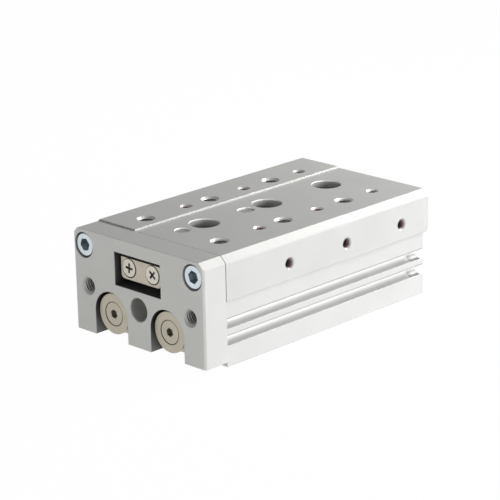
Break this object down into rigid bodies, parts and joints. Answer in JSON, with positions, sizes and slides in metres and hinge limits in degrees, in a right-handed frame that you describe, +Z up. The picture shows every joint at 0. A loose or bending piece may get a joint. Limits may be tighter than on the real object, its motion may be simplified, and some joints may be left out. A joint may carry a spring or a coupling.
{
  "type": "pneumatic slide table",
  "caption": "Compact air slide: cylinders side by side in one body drive a ball-guided table and its end plate, with threads and pin holes for tooling.",
  "frame": {"origin": "middle of the whole part seen from above, on the mounting face under the body", "axes": "+X across the table towards the sensor grooves, +Y along the stroke from the end plate to the rear, +Z up out of the table's top"},
  "size_m": [0.062, 0.1094, 0.0381],
  "materials": {
    "body_aluminium": "clear anodised extrusion, satin",
    "table_aluminium": "clear anodised, fine blasted",
    "plate_aluminium": "clear anodised, fine blasted",
    "hard_steel": "ground",
    "nickel_steel": "matte nickel plating with a warm tone",
    "zinc_steel": "bright zinc plating with a blue tone",
    "black_steel": "black oxide",
    "rod_steel": "hard chrome, polished",
    "ball_steel": "polished",
    "cap_aluminium": "clear anodised, turned",
    "bearing_bronze": "turned bearing bronze",
    "seal_rubber": "matte moulded rubber",
    "resin": "black moulded resin",
    "wear_resin": "ivory moulded resin",
    "magnet": "dark plastic-bonded magnet"
  },
  "bodies": {
    "base": {"body": "body_aluminium", "guide_block": "hard_steel", "front_cover_plate": "nickel_steel", "rear_cover_plate": "nickel_steel", "front_return_cap": "resin", "rear_return_cap": "resin", "cap_screws": "nickel_steel", "load_balls": "ball_steel", "return_balls": "ball_steel", "block_screws": "black_steel", "left_rod_cover": "bearing_bronze", "right_rod_cover": "bearing_bronze", "rod_seals": "seal_rubber", "cover_o_rings": "seal_rubber", "cover_rings": "black_steel", "cover_bumpers": "seal_rubber", "left_head_cap": "cap_aluminium", "right_head_cap": "cap_aluminium", "cap_o_rings": "seal_rubber", "cap_rings": "black_steel", "head_bumpers": "seal_rubber"},
    "slide": {"table": "table_aluminium", "end_plate": "plate_aluminium", "plate_screws": "zinc_steel", "guide_rail": "hard_steel", "rail_screws": "black_steel", "left_piston_rod": "rod_steel", "right_piston_rod": "rod_steel", "left_piston": "cap_aluminium", "right_piston": "cap_aluminium", "piston_seals": "seal_rubber", "piston_magnets": "magnet", "wear_rings": "wear_resin", "piston_nuts": "black_steel", "left_disc": "nickel_steel", "right_disc": "nickel_steel", "rear_washers": "nickel_steel", "rod_end_screws": "nickel_steel"}
  },
  "joints": [
    {"name": "table_slide", "type": "slide", "parent": "base", "child": "slide", "axis": [0, -1, 0], "range_m": [0, 0.05]}
  ]
}
